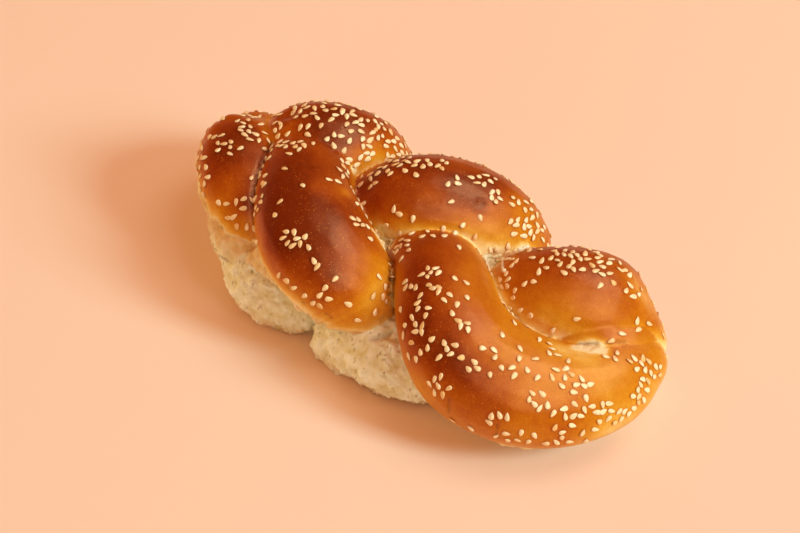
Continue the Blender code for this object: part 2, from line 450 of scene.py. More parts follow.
browning = (
    FLANK + CREST * smoothstep(*CREST_RISE, above)
    + PATCHES * roughness_of(24, 3) + SMALL_PATCHES * roughness_of(6, 4)
)
browning -= END_PALER * smoothstep(*END_STRETCH, spots[:, 0])
browning[on_rope("end_web")] -= WEB_PALER
edge_fade = np.array([EDGE_FADE.get(name, PLAIN_FADE) for name in names])[rope]
browning -= EDGE_PALER * np.exp(-np.clip(over_edge, 0, None) / edge_fade)
for u, v, radius, change in BLUSHES:
    browning += change * around(u, v, 2 * (radius / PIXELS_PER_MM) ** 2)
browning -= pale
ragged = 1 + RAGGEDNESS * roughness_of(2.2, 16)
for u, v, radius, rawness in POCKETS:
    near = ragged * around(u, v, 2 * (radius / PIXELS_PER_MM) ** 2)
    browning -= POCKET_PALER * near
    crumb = np.maximum(crumb, rawness * smoothstep(*POCKET_RIM, near))
browning = np.clip(browning, 0, 1) * (1 - crumb)
print("browning:", np.round(np.percentile(browning[crumb < 0.5], [5, 25, 50, 75, 95]), 2))

# %% [markdown]
# ## Creases, cracks and dents
#
# The glazed skin has soft dimples, and its creases are cut deeper than the voxels could. Two of them
# cracked open. This loaf also has dents where a rope turns, holes round the openings and thin cuts. All
# of it is real relief along the normals, so that it shows at the edges and in raking light. The cracks,
# the holes and the cuts also get painted shade, darker where they are deeper, which the material lays
# on. Only what is finer than the mesh is left to the material.

# %% relief of the crust
CRACKS = [("start_near", "first_near"), ("first_near", "end_near")]
PITS = [  # pixel, radius in pixels, depth in millimetres, or height if below 0, and how much painted shade
    (357, 190, 14, 2.2, 0.0), (367, 214, 14, 2.4, 0.0), (378, 236, 11, 1.8, 0.0), (651, 290, 24, 3.2, 0.0),
    (214, 128, 12, -1.2, 0.0), (230, 118, 10, -1.4, 0.0), (254, 114, 12, 1.2, 0.0),
    (290, 112, 11, 2.0, 0.0), (481, 203, 5, 0.6, 0.0), (388, 243, 3, 1.6, 1.0), (386, 250, 2, 1.0, 0.8),
    (393, 240, 2, 0.8, 0.5), (492, 264, 3, 2.2, 1.0), (498, 265, 2, 1.2, 0.8), (496, 261, 2, 1.0, 0.7),
    (390, 262, 3, 1.0, 0.8), (391, 270, 3, 1.2, 1.0), (391, 278, 3, 1.2, 1.0), (390, 286, 3, 1.2, 0.9),
    (390, 294, 3, 1.0, 0.8), (388, 302, 3, 0.8, 0.5), (288, 288, 2, 0.8, 0.5), (303, 303, 2, 0.8, 0.6),
    (325, 315, 2, 0.7, 0.5), (330, 318, 2, 0.7, 0.5), (375, 337, 4, 1.4, 0.4), (384, 334, 4, 1.4, 0.4),
    (386, 324, 6, 0.8, 0.3),
]
CUTS = [  # from pixel to pixel, width and depth in millimetres
    (449, 400, 449, 412, 0.6, 0.4), (497, 425, 497, 437, 0.6, 0.4), (372, 339, 392, 330, 1.0, 0.6),
    (577, 344, 596, 343, 0.7, 0.6), (606, 343, 625, 342, 0.8, 0.3),
]
CUT_SHADE = 1.4  # painted shade in a cut, for each millimetre of depth
DIMPLES, SMALL_DIMPLES = 0.25, 0.04
CREASE_DEPTH, CREASE_WIDTH = 0.55, 1.1
CRACK_DEPTH, CRACK_WIDTH = 1.1, 1.0


def hump(value, width):
    """1 where the value is 0, fading to 0 on both sides within about the width."""
    return np.exp(-((value / width) ** 2))


relief = DIMPLES * roughness_of(20, 5) + SMALL_DIMPLES * roughness_of(6, 6)
relief -= CREASE_DEPTH * hump(crease_gap, CREASE_WIDTH) * (1 - crumb)
# near the two cracks this deepens the relief; with the pits and cuts added it is also where the material
# paints shade
crack = np.zeros(count)
for one, other in CRACKS:
    i, j = names.index(one), names.index(other)
    near = np.where(rope == i, gaps[j], np.where(rope == j, gaps[i], FAR))
    crack = np.maximum(crack, hump(np.clip(near, 0, None), CRACK_WIDTH))
relief -= CRACK_DEPTH * crack
for u, v, radius, depth, pit_shade in PITS:
    near = around(u, v, (radius / PIXELS_PER_MM) ** 2)
    relief -= depth * near
    crack = np.maximum(crack, pit_shade * near)
for from_u, from_v, to_u, to_v, width, depth in CUTS:
    start, finish = seen_at(from_u, from_v)[0], seen_at(to_u, to_v)[0]
    run = finish - start
    along = np.clip((spots - start) @ run / (run @ run), 0, 1)
    near = hump(np.linalg.norm(spots - start - along[:, None] * run, axis=1), width)
    relief -= depth * near
    crack = np.maximum(crack, np.clip(CUT_SHADE * depth, 0, 1) * near)
print("relief of the crust in mm:", np.round([relief.min(), relief.max()], 2))

# %% [markdown]
# ## Torn dough
#
# Below the glaze the dough tore as it rose, so its flank is lumpy, with short upright tears and small
# rags at the foot. Just under the glaze hangs a fold that the oven tanned. It ends in a row of pores,
# and on the first near lobe the skin above it ends in a thin lip. The foot stays flat on the board, and
# near the board the dough is tanned too, partly toasted and partly painted warm shade.

# %% relief of the raw flank
START_FOLD, HEM_FOLD, FOLD_EDGE = 12.0, 6.0, 1.0  # how far down the tan fold reaches; its rim's width
TEAR_SIZE = Vector((1 / 2.6, 1 / 2.6, 1 / 5.5))  # tears are about twice as tall as they are wide
LUMPS, SMALL_LUMPS, RAGS = 1.3, 0.4, 2.0  # heights
TEARS, PORES = 0.6, 0.6  # depths
RAG_HEIGHTS, FOOT_TAN_AND_SHADE_HEIGHTS = (6, 1.5), (8, 1)  # rags, and tan with painted warm shade at the foot, grow from the first height to the second
HEM_TAN, FOOT_TAN_AND_SHADE, UNEVEN_TAN = 0.7, 0.6, 0.35
LIP, LIP_AT, LIP_WIDTH = 0.28, 0.6, 0.9  # height, place over the edge of the glaze, width
GROOVE_AT, GROOVE_WIDTH = -1.4, 1.1  # the groove below the lip
FLAT_FOOT = 0.6

tears = np.array([noise.fractal(Vector(spot) * TEAR_SIZE, 0.5, 2.0, 2) for spot in spots.tolist()])
torn = smoothstep(0.22, 0.02, np.abs(tears)) * smoothstep(-0.1, 0.3, roughness_of(9, 8))
lumps = roughness_of(5.5, 7, 3)
rags = np.clip(roughness_of(1.8, 9), 0, None) * smoothstep(*RAG_HEIGHTS, spots[:, 2])
fold = np.where(on_start, START_FOLD, HEM_FOLD)
pores = hump(fold + over_edge, FOLD_EDGE) * (on_start | on_rope("first_near"))
pores = pores * smoothstep(-0.3, 0.3, roughness_of(2.4, 11))
relief += crumb * (
    LUMPS * lumps + SMALL_LUMPS * roughness_of(2.6, 13) - TEARS * torn + RAGS * rags - PORES * pores
)
lip = hump(over_edge - LIP_AT, LIP_WIDTH) - hump(over_edge - GROOVE_AT, GROOVE_WIDTH)
relief += LIP * lip * on_rope("first_near")
tanned = smoothstep(-fold, -EDGE_SOFTNESS, over_edge)
tanned[on_rope("first_hem")] = HEM_TAN
# near the board the tan is partly toasting and partly painted warm shade
tanned = np.maximum(tanned, FOOT_TAN_AND_SHADE * smoothstep(*FOOT_TAN_AND_SHADE_HEIGHTS, spots[:, 2]))
tanned = np.clip(tanned + UNEVEN_TAN * roughness_of(4, 12), 0, 1) * (tanned > 0) * crumb
relief[spots[:, 2] < FLAT_FOOT] = 0
spots += normals * relief[:, None]
move_skin()
normals = skin_normals()
tree = skin_tree()
print("relief in mm:", np.round([relief.min(), relief.max()], 2))

# %% [markdown]
# ## The seeds' form
#
# A hulled sesame seed is a flat teardrop about 3.3 mm long, here a small grid of rings from the blunt
# end to the tip. It is made once and copied by numpy, with every seed's turn and tilt its own, so
# that all of them together are one light mesh.

# %% one seed
SEED_LENGTH, SEED_WIDTH, SEED_THICKNESS = 3.25, 2.0, 0.85
SEED_RINGS, SEED_SIDES = 7, 10
SEED_TAPER, SEED_TIP = 0.36, 1.06  # how much slimmer towards the tip, and the tip's place


def seed_form():
    """Corners and faces of one seed in millimetres, lying flat with its tip towards +X."""
    corners, faces = [(-1.0, 0.0, 0.0)], []
    for ring in range(1, SEED_RINGS):
        s = -cos(pi * ring / SEED_RINGS)
        girth = (1 - s * s) ** 0.5 * (1 - SEED_TAPER * s)
        for side in range(SEED_SIDES):
            turn = 2 * pi * side / SEED_SIDES
            corners.append((s, cos(turn) * girth, sin(turn) * girth))
    corners.append((SEED_TIP, 0.0, 0.0))
    last = len(corners) - 1
    for side in range(SEED_SIDES):
        following = (side + 1) % SEED_SIDES
        faces.append((0, 1 + following, 1 + side))
        base = last - SEED_SIDES
        faces.append((last, base + side, base + following))
        for ring in range(SEED_RINGS - 2):
            a = 1 + ring * SEED_SIDES
            faces.append((a + side, a + following, a + SEED_SIDES + following, a + SEED_SIDES + side))
    size = np.array((SEED_LENGTH, SEED_WIDTH, SEED_THICKNESS)) / 2
    return np.array(corners) * size, faces


seed_corners, seed_faces = seed_form()
print("corners and faces of a seed:", len(seed_corners), len(seed_faces))

# %% [markdown]
# ## Where the seeds lie
#
# Seeds are strewn by hand, so they fall in drifts and leave bare patches. On the side that we see,
# each drift is an ellipse of the photograph with a number of seeds, and those that lie alone are named
# one by one. In a drift each seed goes to the emptiest of a few random spots, so that few overlap.

# %% drifts and lone seeds, in pixels of the photograph
DRIFTS = [  # middle, half length and half width, fall to the right in degrees, number of seeds
    # the start, and the seam to the first far lobe
    (247, 118, 16, 6, 0, 9), (248, 132, 9, 8, 0, 7), (232, 146, 16, 9, 0, 7), (214, 137, 8, 4, 0, 3),
    (202, 168, 28, 6, 85, 20), (264, 141, 19, 7, 75, 9), (278, 130, 19, 5, 90, 12),
    (247, 201, 11, 9, 0, 6),
    # the first far lobe
    (302, 118, 13, 12, 0, 9), (322, 106, 18, 5, 0, 9), (344, 110, 15, 8, 0, 11), (356, 124, 13, 9, 0, 9),
    (379, 122, 9, 9, 0, 6), (386, 138, 15, 8, 50, 9), (400, 147, 11, 7, 60, 9), (338, 143, 12, 10, 0, 6),
    (364, 141, 9, 9, 0, 5), (361, 159, 15, 5, -15, 9), (294, 145, 13, 4, 0, 8), (397, 159, 14, 5, 5, 11),
    # the first near lobe
    (261, 196, 26, 2, 105, 9), (256, 236, 8, 2, 80, 3), (298, 289, 30, 2, 38, 7),
    (300, 239, 17, 11, 10, 9), (343, 170, 13, 4, 65, 6), (360, 223, 9, 4, 40, 5),
    # the second far lobe
    (369, 181, 10, 8, 0, 8), (384, 172, 9, 5, 0, 6), (405, 166, 12, 5, 0, 6), (432, 164, 17, 6, 5, 9),
    (460, 181, 14, 4, -15, 5), (484, 181, 13, 6, 0, 9), (496, 197, 10, 5, 65, 6), (515, 202, 6, 5, 0, 4),
    (531, 210, 11, 7, 50, 7), (518, 222, 11, 7, 0, 6), (535, 230, 13, 10, 60, 10),
    (510, 249, 24, 4, 3, 12),
    # the end lobe near us
    (428, 233, 29, 4, 0, 8), (403, 249, 13, 7, 80, 8), (431, 276, 11, 10, 0, 7), (411, 285, 9, 4, 0, 4),
    (433, 290, 7, 6, 0, 5), (455, 310, 23, 8, 60, 8), (425, 305, 8, 12, 0, 5), (413, 330, 11, 13, 0, 9),
    (432, 350, 28, 13, 0, 10), (468, 362, 12, 8, 30, 4), (441, 387, 13, 10, 50, 8), (489, 354, 9, 8, 0, 3),
    (509, 370, 9, 6, 20, 4), (560, 378, 13, 10, 0, 9), (536, 401, 15, 9, 0, 7), (584, 390, 12, 11, 40, 8),
    (570, 410, 26, 8, -5, 8), (573, 427, 24, 7, 0, 6), (497, 418, 13, 5, -10, 4), (520, 437, 24, 5, 3, 8),
    (554, 351, 22, 6, 45, 6), (604, 414, 12, 8, -70, 10), (620, 416, 16, 6, -35, 7),
    (641, 391, 13, 8, -70, 12), (638, 364, 14, 9, 25, 9), (655, 373, 9, 6, -70, 6),
    (562, 440, 28, 3, -3, 5),
    # the end lobe beyond it
    (504, 281, 10, 5, 80, 5), (511, 262, 8, 5, -20, 4), (559, 256, 12, 9, 0, 10), (580, 266, 13, 7, 0, 9),
    (588, 255, 16, 6, 10, 10), (602, 267, 11, 8, 50, 9), (621, 268, 14, 4, 35, 6), (632, 290, 11, 7, 0, 7),
]
LONE_SEEDS = [
    # the start
    (219, 203), (227, 204), (228, 218), (234, 217), (237, 227), (247, 227), (252, 178), (260, 177),
    (223, 119),
    # the first far lobe and the first near one
    (299, 150), (289, 154), (288, 134), (308, 135), (321, 126), (331, 120), (317, 118), (313, 144),
    (372, 133), (285, 169), (303, 186), (280, 202), (275, 215), (314, 261), (317, 267), (335, 279),
    (325, 288), (320, 295), (329, 299), (348, 304), (379, 277), (385, 287), (373, 296), (383, 297),
    (386, 302), (375, 312), (358, 320), (370, 239), (338, 182), (329, 180),
    # the second far lobe
    (357, 204), (363, 204), (394, 209), (399, 214), (413, 219), (386, 225), (463, 225), (475, 237),
    (451, 202), (480, 218), (514, 234), (523, 236), (416, 175),
    # the near end lobe
    (457, 305), (458, 321), (468, 330), (519, 359), (527, 370), (514, 376), (443, 395), (489, 422),
    (455, 279), (466, 283), (467, 298), (459, 248), (502, 335), (520, 349), (490, 375), (537, 378),
    (535, 359), (401, 310), (394, 318), (471, 428), (453, 420),
    # the far end lobe and the crease beside it
    (500, 280), (508, 280), (515, 291), (513, 298), (525, 284), (534, 282), (539, 272), (546, 268),
    (542, 261), (532, 258), (540, 250), (564, 273), (600, 286), (613, 283), (577, 319), (637, 321),
    (638, 330), (649, 324), (622, 334), (611, 341), (606, 357), (615, 359), (617, 353), (521, 310),
    (530, 316), (514, 323), (517, 318), (527, 327), (553, 330), (510, 308), (663, 336),
]
print("drifts:", len(DRIFTS), "lone seeds:", len(LONE_SEEDS))

# %% seeds in view
SEED_GAP = 2.4  # least distance between the middles of two seeds
TRIES = 6  # each seed goes to the emptiest of so many random spots
rng = np.random.default_rng(21)
seed_places, seed_normals = [], []


def room_at(place):
    """Distance from a place to the nearest seed so far."""
    if not seed_places:
        return 99.0
    return np.linalg.norm(np.array(seed_places) - place, axis=1).min()


def try_seed(place, normal, gap=SEED_GAP):
    """Keep a seed at this place unless another lies too near."""
    if room_at(place) < gap:
        return False
    seed_places.append(place)
    seed_normals.append(normal)
    return True


for u, v in LONE_SEEDS:
    try_seed(*seen_at(u, v))
missed = 0
for u, v, half_length, half_width, fall, number in DRIFTS:
    fall = radians(fall)
    along, across = Vector((cos(fall), sin(fall))), Vector((-sin(fall), cos(fall)))
    for _ in range(number):
        spots_found = []
        for turn, reach in rng.uniform(size=(TRIES, 2)).tolist():
            turn, reach = 2 * pi * turn, reach**0.5
            aim = along * (half_length * reach * cos(turn)) + across * (half_width * reach * sin(turn))
            found = seen_at(u + aim.x, v + aim.y)
            if found:
                spots_found.append(found)
        if not spots_found or not try_seed(*max(spots_found, key=lambda found: room_at(found[0]))):
            missed += 1
print("seeds in view:", len(seed_places), "no room for:", missed)

# %% [markdown]
# ## Seeds out of view
#
# The photograph shows nothing of the far side, so its seeds are strewn at random, in drifts that noise
# lays out. They lie on glazed crust only, and a ray towards the camera keeps them out of its view.

# %% the strewing out of view
HIDDEN_GAP, GAP_SPREAD = 3.6, (0.7, 1.3)  # between seeds, and how much that varies
SEED_LOWEST = 16.0  # height of the lowest seeds
SEED_STEEPEST = 0.12  # upward part of the normal, where seeds would slide off
RAY_START = 0.5  # millimetres over the skin
EDGE_ON = 0.02  # the normal's part towards the camera, where the crust is seen edge-on

visible_side = np.array([back @ Vector(normal) for normal in normals])
on_crust = (crumb < 0.1) & (normals[:, 2] > SEED_STEEPEST) & (spots[:, 2] > SEED_LOWEST)
drift = smoothstep(-0.3, 0.3, roughness_of(15, 21))
hidden = 0
for point in rng.permutation(np.flatnonzero(on_crust)):
    place = spots[point]
    if rng.uniform() > drift[point]:
        continue
    toward = CAMERA_AT / MM - Vector(place)
    start_from = Vector(place) + Vector(normals[point]) * RAY_START
    if visible_side[point] > EDGE_ON and tree.ray_cast(start_from, toward.normalized())[0] is None:
        continue
    hidden += try_seed(place, normals[point], gap=HIDDEN_GAP * rng.uniform(*GAP_SPREAD))
print("seeds out of view:", hidden, "all seeds:", len(seed_places))

# %% [markdown]
# ## Laying the seeds down
#
# Each seed lies along the crust with its flat side down, a little tilted, and sunk by about a fifth
# into the glaze. Two attributes go with it: its own tone, and how near a point is to its rim, which
# is darker: toasted, and painted shade along the seed's edge.

# %% all seeds in one mesh
SEED_LIFT = 0.24  # middle of a seed over the crust
SEED_TILT = radians(7)
SIZE_SPREADS = (0.07, 0.07, 0.1)  # of length, width and thickness


def point_numbers(mesh, name, values):
    """Keep one number for each point of a mesh, for its material to read."""
    mesh.attributes.new(name, "FLOAT", "POINT").data.foreach_set("value", values)


def smooth_faces(mesh):
    """Shade all faces of a mesh smooth."""
    mesh.polygons.foreach_set("use_smooth", np.ones(len(mesh.polygons), bool))


def seed_mesh():
    """Every seed at its place in one mesh, with the attributes tone and rim."""
    all_corners, all_faces, tones, rims = [], [], [], []
    rim = 1 - np.abs(seed_corners[:, 2]) / (SEED_THICKNESS / 2)
    for place, normal in zip(seed_places, seed_normals):
        lie = Vector(normal).to_track_quat("Z", "Y").to_matrix()
        turn = Matrix.Rotation(rng.uniform(0, 2 * pi), 3, "Z")
        tilt = Matrix.Rotation(rng.normal(0, SEED_TILT), 3, "Y")
        tilt = tilt @ Matrix.Rotation(rng.normal(0, SEED_TILT), 3, "X")
        size = np.array([rng.normal(1, spread) for spread in SIZE_SPREADS])
        form = np.array(lie @ turn @ tilt)
        faces_before = len(all_corners) * len(seed_corners)
        all_corners.append((seed_corners * size) @ form.T + place + np.array(normal) * SEED_LIFT)
        all_faces += [tuple(corner + faces_before for corner in face) for face in seed_faces]
        tones.append(np.full(len(seed_corners), rng.uniform()))
        rims.append(rim)
    mesh = bpy.data.meshes.new("sesame_seeds")
    mesh.from_pydata(np.vstack(all_corners) * MM, [], all_faces)
    point_numbers(mesh, "tone", np.concatenate(tones))
    point_numbers(mesh, "rim", np.concatenate(rims))
    smooth_faces(mesh)
    mesh.update()
    return mesh


seeds = add_object("sesame_seeds", seed_mesh())
print("seed triangles:", sum(len(face.vertices) - 2 for face in seeds.data.polygons))

# %% [markdown]
# ## Torn strands
#
# Where three ropes meet, rising pulled the dough apart, and short pale strands still bridge the gap.
# Each runs between two places aimed through the camera, a row of small balls along a low arch. One
# fine remesh joins them.

# %% torn strands
STRANDS = [  # from pixel to pixel, thickness and height of the arch in millimetres
    (383, 238, 394, 241, 1.0, 0.8), (388, 248, 395, 254, 1.0, 0.6), (392, 241, 389, 250, 0.8, 0.8),
    (484, 257, 488, 268, 1.7, 0.6), (487, 256, 499, 256, 1.4, 0.6), (497, 261, 509, 259, 1.3, 0.9),
    (503, 260, 504, 271, 1.6, 0.8), (519, 249, 527, 247, 1.4, 0.5),
]
STRAND_BALLS = 12
STRAND_ENDS, STRAND_MIDDLE = 1.25, 0.75  # thickness there, as parts of the whole
STRAND_JITTER, THICKNESS_JITTER = 0.15, (0.8, 1.2)
STRAND_VOXEL = 0.28


def strand_mesh():
    """All the strands as rows of balls in one mesh, in millimetres."""
    gathered = bmesh.new()
    for from_u, from_v, to_u, to_v, thickness, arch in STRANDS:
        (start, start_normal), (finish, _) = seen_at(from_u, from_v), seen_at(to_u, to_v)
        for step in range(STRAND_BALLS + 1):
            part = step / STRAND_BALLS
            middle = start + (finish - start) * part + start_normal * arch * sin(pi * part)
            middle = middle + rng.normal(0, STRAND_JITTER, size=3)
            waist = STRAND_ENDS - (STRAND_ENDS - STRAND_MIDDLE) * sin(pi * part)
            radius = thickness / 2 * waist * rng.uniform(*THICKNESS_JITTER)
            bmesh.ops.create_icosphere(
                gathered, subdivisions=2, radius=radius, matrix=Matrix.Translation(middle.tolist()))
    mesh = bpy.data.meshes.new("rows_of_balls")
    gathered.to_mesh(mesh)
    gathered.free()
    return mesh


rows_of_balls = add_object("rows_of_balls", strand_mesh())
join = rows_of_balls.modifiers.new("join", "REMESH")
join.mode, join.voxel_size = "VOXEL", STRAND_VOXEL
strands = applied(rows_of_balls, "torn_crumb")
strands.data.transform(Matrix.Scale(MM, 4))
point_numbers(strands.data, "crumb", np.ones(len(strands.data.vertices)))
smooth_faces(strands.data)
print("faces of the strands:", len(strands.data.polygons))

# %% [markdown]
# ## What the crust's material needs to know
#
# The material reads the numbers that we worked out as attributes of the mesh: browning, raw crumb,
# pores, painted shade in cracks, holes and cuts, lumps, and tanned dough, which near the board is partly
# painted warm shade. Egg also gathers round each seed and browns there, so we add how near a seed is.

# %% attributes
HALO_WIDTH, HALO_END = 1.9, 3.2  # round the middle of a seed

halo = np.zeros(count)
for place in seed_places:
    near = np.abs(spots - place).max(axis=1) < HALO_END
    away = np.linalg.norm(spots[near] - place, axis=1)
    halo[near] = np.maximum(halo[near], hump(away, HALO_WIDTH))
crust_numbers = {
    "browning": browning, "crumb": crumb, "pores": pores * crumb, "crack": crack, "halo": halo,
    "lumps": lumps, "tanned": tanned,
}
for name, values in crust_numbers.items():
    point_numbers(loaf.data, name, values)
smooth_faces(loaf.data)
print("attributes:", list(crust_numbers))

# %% [markdown]
# ## Writing materials as sums
#
# A material is a net of nodes, but sums are easier to read. This small class wraps one output socket
# of a node. Adding or multiplying two of them adds the Math node that does it.


# %% a socket that can be reckoned with
class Value:
    """One output socket of a node. The operators add Math nodes; mixed is for colours."""

    def __init__(self, tree, socket):
        self.tree, self.socket = tree, socket

    def node(self, kind, settings=None, out=0, **inputs):
        """Any node: its type, its settings, then values or links for its sockets by name or number."""
        made = self.tree.nodes.new(kind)
        for name, value in (settings or {}).items():
            if name == "stops":
                ramp = made.color_ramp
                while len(ramp.elements) < len(value):
                    ramp.elements.new(0.5)
                for element, (position, colour) in zip(ramp.elements, value):
                    element.position, element.color = position, (*colour, 1)
            else:
                setattr(made, name, value)
        self.plug(made, inputs)
        return Value(self.tree, made.outputs[out])

    def plug(self, node, inputs):
        """Give sockets of a node their plain values, or links where they are Values."""
        for name, value in inputs.items():
            key = int(name[1:]) if name[0] == "i" and name[1:].isdigit() else name.replace("_", " ")
            if isinstance(value, Value):
                self.tree.links.new(value.socket, node.inputs[key])
            else:
                node.inputs[key].default_value = value

    def finish(self, **inputs):
        """Give the material's own shader node its values and links."""
        self.plug(self.tree.nodes["Principled BSDF"], inputs)

    def sum(self, operation, first, second):
        return self.node("ShaderNodeMath", {"operation": operation}, i0=first, i1=second)

    def __add__(self, other):
        return self.sum("ADD", self, other)

    def __mul__(self, other):
        return self.sum("MULTIPLY", self, other)

    def __sub__(self, other):
        return self.sum("SUBTRACT", self, other)

    def __rsub__(self, other):
        return self.sum("SUBTRACT", other, self)

    __radd__, __rmul__ = __add__, __mul__

    def clamped(self):
        """This value, kept between 0 and 1."""
        return self.node("ShaderNodeClamp", i0=self)

    def between(self, low, high):
        """0 below low, 1 above high, smooth in between; low may be above high."""
        settings = {"interpolation_type": "SMOOTHSTEP"}
        return self.node("ShaderNodeMapRange", settings, i0=self, i1=low, i2=high)

    def mixed(self, first, second):
        """first where this mask is 0, second where it is 1; both are colours."""
        settings = {"data_type": "RGBA", "clamp_factor": True}
        return self.node("ShaderNodeMix", settings, out=2, i0=self, i6=first, i7=second)


def new_material(name):
    """A material, and a Value to start its sums from."""
    material = bpy.data.materials.new(name)
    material.use_nodes = True
    return material, Value(material.node_tree, None)


def colour(red, green, blue):
    """A colour as seen on screen, 0 to 255, as the linear numbers that a shader takes, with alpha."""
    parts = [value / 255 for value in (red, green, blue)]
    return (*[p / 12.92 if p <= 0.04045 else ((p + 0.055) / 1.055) ** 2.4 for p in parts], 1)


print("mid gold:", np.round(colour(222, 140, 45), 3))

# %% [markdown]
# ## The crust
#
# Egg-glazed crust goes from cream through gold and amber to a dark red brown, always along the same
# row of colours. So one colour ramp over the browning number gives all of it, and noise on that number
# before the ramp gives mottling in the right hues. Pinprick blisters are lighter, egg that pooled
# round seeds is darker, and the cracks, holes and cuts get the darkest colour as painted shade.

# %% colour of the crust
BROWNS = [  # browning, and its colour
    (0.00, colour(246, 218, 160)), (0.14, colour(241, 198, 114)), (0.30, colour(227, 160, 50)),
    (0.46, colour(209, 127, 17)), (0.62, colour(192, 99, 7)), (0.76, colour(173, 75, 3)),
    (0.88, colour(150, 54, 1)), (1.00, colour(122, 37, 0)),
]
PER_METRE = 1000  # noise scales are given per millimetre
BLISTERS_PER_MM = 0.85
# the gold of the blisters, then the dark brown of the painted shade in cracks, holes and cuts
BLISTER_GOLD, CRACK_SHADE_BROWN = colour(230, 146, 56), colour(96, 36, 10)

crust, v = new_material("baked_crust")
place = v.node("ShaderNodeNewGeometry")


def measured(name):
    """A number that the mesh keeps for its points, for the material whose Value is v now."""
    return v.node("ShaderNodeAttribute", {"attribute_name": name}, out="Fac")


def grain(per_mm, detail):
    """Noise round 0, from about -0.5 to 0.5, with features of 1 / per_mm millimetres."""
    return v.node("ShaderNodeTexNoise", Vector=place, Scale=per_mm * PER_METRE, Detail=detail) - 0.5


def cells(where, scale):
    """Distance to the nearest of many strewn points, so that small values are round spots."""
    return v.node("ShaderNodeTexVoronoi", out="Distance", Vector=where, Scale=scale)


browned, raw, crack_shade, by_seed = map(measured, ("browning", "crumb", "crack", "halo"))
mottle = 0.16 * grain(0.12, 3) + 0.12 * grain(0.5, 3) + 0.22 * grain(2.0, 2)
baked = (browned + mottle * (1 - raw) + 0.06 * by_seed * (1 - raw)).clamped()
stops = [(at, tint[:3]) for at, tint in BROWNS]
crust_colour = v.node("ShaderNodeValToRGB", {"stops": stops}, Fac=baked)
some = grain(0.35, 1).between(-0.16, 0.1)
blisters = cells(place, BLISTERS_PER_MM * PER_METRE).between(0.24, 0.08)
blisters = blisters * some * (1 - raw) * browned.between(0.3, 0.6)
crust_colour = (0.7 * blisters).mixed(crust_colour, BLISTER_GOLD)
print("nodes in the crust so far:", len(crust.node_tree.nodes))

# %% [markdown]
# ## The raw flank
#
# Raw dough is cream, with a painted highlight on its lumps and painted shade between them. It is warmer
# in the tanned fold, and at the foot, where that warmth is partly painted shade. Where it tore, we look
# into short upright holes, painted an olive shade. A Voronoi texture stretched upwards makes them,
# because noise would draw long lines that look like worms.

# %% colour of the raw flank
FLECKS_PER_METRE, FLECK_DENSITY = (420, 420, 150), 1.15  # nearly three times as tall as wide
RAW_SHADE, RAW_LIGHT = colour(230, 216, 160), colour(255, 254, 230)
# the tan of the fold, which at the foot is also painted warm shade, and the olive painted shade in holes
TAN_AND_FOOT_SHADE, HOLE_SHADE_OLIVE = colour(226, 176, 104), colour(168, 134, 82)

pore, lump_light, dough_tan_and_shade = map(measured, ("pores", "lumps", "tanned"))
# the grain is the dough's own uneven tone; lighter on the lumps is painted highlight, darker between them
# painted shade
raw_tone_and_light = (grain(0.22, 3) * 1.6 + 0.52 + 0.45 * lump_light).clamped()
upright = v.node("ShaderNodeVectorMath", {"operation": "MULTIPLY"}, i0=place, i1=FLECKS_PER_METRE)
flecks = (cells(upright, FLECK_DENSITY) + 0.6 * grain(1.1, 3)).between(0.34, 0.10)
flecks = flecks * grain(0.16, 2).between(-0.14, 0.14)
# painted shade in the tears and in the row of pores
hole_shade = (0.65 * flecks * (1 - 0.6 * dough_tan_and_shade) + 0.7 * pore).clamped()
raw_colour = raw_tone_and_light.mixed(RAW_SHADE, RAW_LIGHT)
raw_colour = (0.9 * dough_tan_and_shade).mixed(raw_colour, TAN_AND_FOOT_SHADE)
raw_colour = hole_shade.mixed(raw_colour, HOLE_SHADE_OLIVE)
print("nodes in the crust so far:", len(crust.node_tree.nodes))

# %% [markdown]
# ## The glaze over it
#
# Baked egg shines softly and warms what it mirrors, and raw dough is dull. Both are one material,
# because the edge between them wanders, and the crumb number mixes them. The finest wrinkles and
# flecks are a bump of a fifth of a millimetre.

# %% shine and bump of the crust
GLAZE_ROUGHNESS, RAW_DULLER = 0.35, 0.5
BUMP_STRENGTH, BUMP_HEIGHT = 0.25, 0.2 * MM
SHINE, SHINE_TINT = 0.3, (1.0, 0.9, 0.65, 1)

whole_colour = raw.mixed(crust_colour, raw_colour)
# painted shade in the cracks, holes and cuts, weaker on raw dough
whole_colour = (0.8 * crack_shade * (1 - 0.45 * raw)).mixed(whole_colour, CRACK_SHADE_BROWN)
bumps = (
    0.7 * grain(1.1, 3) + 0.5 * grain(3.2, 2) + 2.4 * raw * grain(1.5, 4) + 0.35 * blisters
    - 1.5 * raw * flecks
)
dullness = (
    GLAZE_ROUGHNESS + RAW_DULLER * raw + 0.10 * grain(0.3, 2) + 0.10 * browned.between(0.4, 0.0)
).clamped()
bump = v.node("ShaderNodeBump", Strength=BUMP_STRENGTH, Distance=BUMP_HEIGHT, Height=bumps)
v.finish(
    Base_Color=whole_colour, Roughness=dullness, Normal=bump, Specular_IOR_Level=SHINE,
    Specular_Tint=SHINE_TINT,
)
for piece in (loaf, strands):
    piece.data.materials.append(crust)
print("nodes in the crust:", len(crust.node_tree.nodes))

# %% [markdown]
# ## The seeds' finish
#
# Hulled sesame is cream with a satin sheen. Each seed has its own tone, some toasted a little more,
# and the thin rim between its two flat sides is darker: it is the first to brown, and it carries
# painted shade along the seed's edge.

# %% seed material
HULL, WARM_HULL = colour(251, 225, 174), colour(245, 206, 146)
TOASTED, RIM_TOAST_AND_SHADE = colour(236, 184, 112), colour(198, 132, 66)

